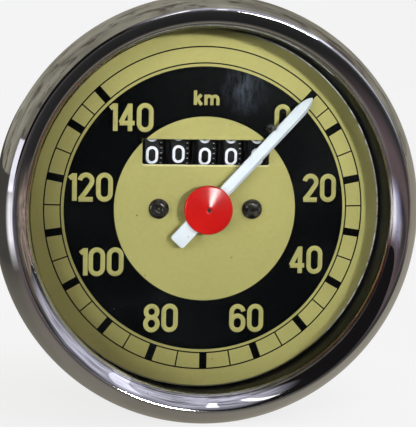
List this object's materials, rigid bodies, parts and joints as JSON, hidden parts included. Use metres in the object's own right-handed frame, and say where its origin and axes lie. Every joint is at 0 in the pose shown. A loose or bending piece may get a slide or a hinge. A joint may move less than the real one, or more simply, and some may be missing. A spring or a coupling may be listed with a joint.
{
  "type": "speedometer",
  "caption": "Round panel speedometer with chromed bezel, gold and black dial, white pointer with red cap, drum distance counter, lamp and threaded cable spigot.",
  "frame": {"origin": "on the pointer's axis, in the plane of the bezel's rear seat", "axes": "+Y from the dial to the back along the case's axis, +Z to twelve o'clock, +X to the reader's right"},
  "size_m": [0.086, 0.0758, 0.086],
  "materials": {
    "black_enamel": "glossy black stoving enamel",
    "bezel_chrome": "polished chrome plate",
    "clear_glass": "clear polished glass",
    "seal_rubber": "matt black rubber",
    "black_trim": "satin black paint",
    "dial_gold": "pale champagne gold with black and white print",
    "black_steel": "blackened steel",
    "pointer_white": "white enamel",
    "cap_red": "glossy red",
    "brass": "turned brass",
    "bronze": "turned bearing bronze",
    "steel": "ground steel",
    "spring_steel": "blued spring steel",
    "aluminium": "bare aluminium",
    "soft_iron": "plated soft iron",
    "plated_sheet": "zinc plated sheet",
    "plated_fixing": "zinc plated steel",
    "spigot_metal": "turned and threaded brass",
    "fibre": "red-brown fibre",
    "drum_black": "dark grey with white digits",
    "gear_plastic": "moulded cream plastic",
    "bulb_glass": "clear bulb glass"
  },
  "bodies": {
    "housing": {"case": "black_enamel", "bezel": "bezel_chrome", "lens": "clear_glass", "lens_gasket": "seal_rubber", "dial_ring": "black_trim", "dial_plate": "dial_gold", "dial_screws": "black_steel", "pointer_stop": "black_steel", "hairspring": "spring_steel", "spring_stud": "brass", "flux_ring": "soft_iron", "upper_bush": "bronze", "lower_bush": "bronze", "thrust_washer": "fibre", "frame": "aluminium", "bridge": "aluminium", "bridge_screws": "steel", "pivot_bush": "bronze", "dial_posts": "steel", "left_cheek": "plated_sheet", "right_cheek": "plated_sheet", "cheek_screws": "steel", "drum_shaft": "steel", "drum_shaft_clips": "steel", "pinion_shaft": "steel", "drive_spigot": "spigot_metal", "mounting_studs": "plated_fixing", "frame_screws": "plated_fixing", "lamp_holder": "brass", "lamp_grommet": "seal_rubber", "lamp_bulb": "bulb_glass", "lamp_cap": "brass", "lamp_terminal": "plated_fixing"},
    "pointer": {"pointer_blade": "pointer_white", "pointer_cap": "cap_red", "pointer_boss": "brass", "pointer_spindle": "steel", "spring_collet": "brass", "speed_cup": "aluminium"},
    "drive": {"drive_spindle": "steel", "magnet": "soft_iron", "magnet_hub": "brass"},
    "cross": {"cross_shaft": "steel", "cross_wheel": "gear_plastic"},
    "counter": {"counter_shaft": "steel", "counter_wheel": "gear_plastic"},
    "units": {"drum_units": "drum_black", "units_gear": "gear_plastic"},
    "tens": {"drum_tens": "drum_black"},
    "hundreds": {"drum_hundreds": "drum_black"},
    "thousands": {"drum_thousands": "drum_black"},
    "ten_thousands": {"drum_ten_thousands": "drum_black"},
    "pinion_1": {"pinion_tens": "gear_plastic"},
    "pinion_2": {"pinion_hundreds": "gear_plastic"},
    "pinion_3": {"pinion_thousands": "gear_plastic"},
    "pinion_4": {"pinion_ten_thousands": "gear_plastic"}
  },
  "joints": [
    {"name": "pointer_swing", "type": "hinge", "parent": "housing", "child": "pointer", "pos_m": [0, 0, 0], "axis": [0, 1, 0], "range_deg": [0, 274], "stiffness_Nm_per_rad": 0.0001, "springref_deg": -34.38, "deforming": ["hairspring"]},
    {"name": "drive_spin", "type": "hinge", "parent": "housing", "child": "drive", "pos_m": [0, 0.04, 0], "axis": [0, 1, 0], "continuous": true},
    {"name": "cross_spin", "type": "hinge", "parent": "housing", "child": "cross", "pos_m": [0.006, 0.04255, 0], "axis": [0, 0, 1], "continuous": true},
    {"name": "counter_spin", "type": "hinge", "parent": "housing", "child": "counter", "pos_m": [0.0151, 0.04255, 0.01975], "axis": [0, -1, 0], "continuous": true},
    {"name": "units_turn", "type": "hinge", "parent": "housing", "child": "units", "pos_m": [0, 0.0133, 0.0115], "axis": [-1, 0, 0], "continuous": true},
    {"name": "tens_turn", "type": "hinge", "parent": "housing", "child": "tens", "pos_m": [0, 0.0133, 0.0115], "axis": [-1, 0, 0], "continuous": true},
    {"name": "hundreds_turn", "type": "hinge", "parent": "housing", "child": "hundreds", "pos_m": [0, 0.0133, 0.0115], "axis": [-1, 0, 0], "continuous": true},
    {"name": "thousands_turn", "type": "hinge", "parent": "housing", "child": "thousands", "pos_m": [0, 0.0133, 0.0115], "axis": [-1, 0, 0], "continuous": true},
    {"name": "ten_thousands_turn", "type": "hinge", "parent": "housing", "child": "ten_thousands", "pos_m": [0, 0.0133, 0.0115], "axis": [-1, 0, 0], "continuous": true},
    {"name": "pinion_1_turn", "type": "hinge", "parent": "housing", "child": "pinion_1", "pos_m": [0, 0.01924, 0.01744], "axis": [1, 0, 0], "continuous": true},
    {"name": "pinion_2_turn", "type": "hinge", "parent": "housing", "child": "pinion_2", "pos_m": [0, 0.01924, 0.01744], "axis": [1, 0, 0], "continuous": true},
    {"name": "pinion_3_turn", "type": "hinge", "parent": "housing", "child": "pinion_3", "pos_m": [0, 0.01924, 0.01744], "axis": [1, 0, 0], "continuous": true},
    {"name": "pinion_4_turn", "type": "hinge", "parent": "housing", "child": "pinion_4", "pos_m": [0, 0.01924, 0.01744], "axis": [1, 0, 0], "continuous": true}
  ],
  "couplings": [
    {"joint": "cross_spin", "follows": "drive_spin", "ratio": 0.0625},
    {"joint": "counter_spin", "follows": "drive_spin", "ratio": 0.0025},
    {"joint": "units_turn", "follows": "drive_spin", "ratio": 0.0001},
    {"joint": "tens_turn", "follows": "drive_spin", "ratio": 0.00001},
    {"joint": "hundreds_turn", "follows": "drive_spin", "ratio": 0.000001},
    {"joint": "thousands_turn", "follows": "drive_spin", "ratio": 0.0000001},
    {"joint": "ten_thousands_turn", "follows": "drive_spin", "ratio": 0.00000001},
    {"joint": "pinion_1_turn", "follows": "drive_spin", "ratio": 0.000025},
    {"joint": "pinion_2_turn", "follows": "drive_spin", "ratio": 0.0000025},
    {"joint": "pinion_3_turn", "follows": "drive_spin", "ratio": 0.00000025},
    {"joint": "pinion_4_turn", "follows": "drive_spin", "ratio": 0.000000025}
  ]
}
